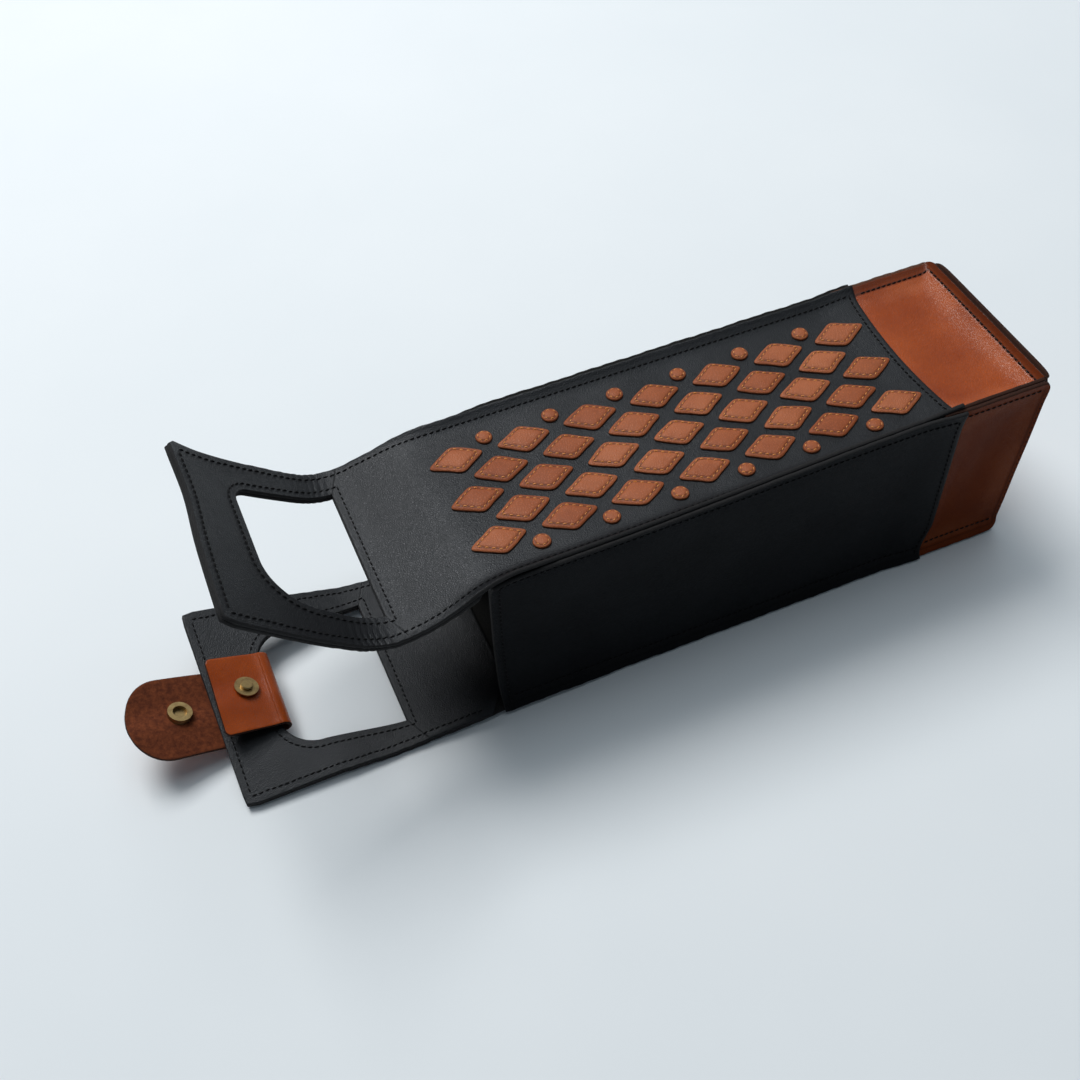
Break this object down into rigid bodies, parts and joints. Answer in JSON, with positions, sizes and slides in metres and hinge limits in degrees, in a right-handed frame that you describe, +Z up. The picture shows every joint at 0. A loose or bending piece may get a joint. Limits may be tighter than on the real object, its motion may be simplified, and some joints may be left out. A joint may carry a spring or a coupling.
{
  "type": "bottle carrier",
  "caption": "Long square leather bottle bag lying on its back, with outward seams, brown foot, patched front, looped hand holes and a press-stud grip wrap.",
  "frame": {"origin": "on the table under the middle of the overall box, with the carrier lying on its back panel", "axes": "+X towards the foot, +Y from the near side to the far side, +Z up from the table"},
  "size_m": [0.436, 0.097, 0.1339],
  "materials": {
    "black_leather": "fine-grained black cowhide, semi-matt, raw dark edges",
    "brown_leather": "smooth chestnut cowhide, glossy grain side and suede flesh side",
    "board": "stiff bonded leather board",
    "snap_metal": "aged brass press stud"
  },
  "bodies": {
    "bag": {"front_panel": "black_leather", "front_foot_band": "brown_leather", "front_tongue_lining": "black_leather", "back_panel": "black_leather", "back_foot_band": "brown_leather", "back_tongue_lining": "black_leather", "near_side_panel": "black_leather", "near_foot_band": "brown_leather", "near_mouth_hem": "black_leather", "far_side_panel": "black_leather", "far_foot_band": "brown_leather", "far_mouth_hem": "black_leather", "base_panel": "brown_leather", "base_board": "board", "patch_lozenges": "brown_leather", "patch_discs": "brown_leather"},
    "front_handle": {"front_handle_outer": "black_leather", "front_handle_lining": "black_leather"},
    "back_handle": {"back_handle_outer": "black_leather", "back_handle_lining": "black_leather", "grip_wrap": "brown_leather"},
    "outer_flap": {"wrap_outer_flap": "brown_leather", "snap_cap": "snap_metal", "snap_socket": "snap_metal"},
    "inner_flap": {"wrap_inner_flap": "brown_leather", "snap_stud": "snap_metal", "snap_post": "snap_metal"}
  },
  "joints": [
    {"name": "front_handle_hinge", "type": "hinge", "parent": "bag", "child": "front_handle", "pos_m": [-0.09814, 0, 0.0835], "axis": [0, 1, 0], "range_deg": [-70, 40], "stiffness_Nm_per_rad": 0.3},
    {"name": "back_handle_hinge", "type": "hinge", "parent": "bag", "child": "back_handle", "pos_m": [-0.09814, 0, 0.0055], "axis": [0, 1, 0], "range_deg": [0, 14], "stiffness_Nm_per_rad": 0.3},
    {"name": "outer_flap_hinge", "type": "hinge", "parent": "back_handle", "child": "outer_flap", "pos_m": [-0.1754, 0, 0.01813], "axis": [0, 1, 0], "range_deg": [0, 80], "stiffness_Nm_per_rad": 0.05},
    {"name": "inner_flap_hinge", "type": "hinge", "parent": "back_handle", "child": "inner_flap", "pos_m": [-0.14802, 0, 0.01642], "axis": [0, -1, 0], "range_deg": [-70, 14], "stiffness_Nm_per_rad": 0.05}
  ]
}
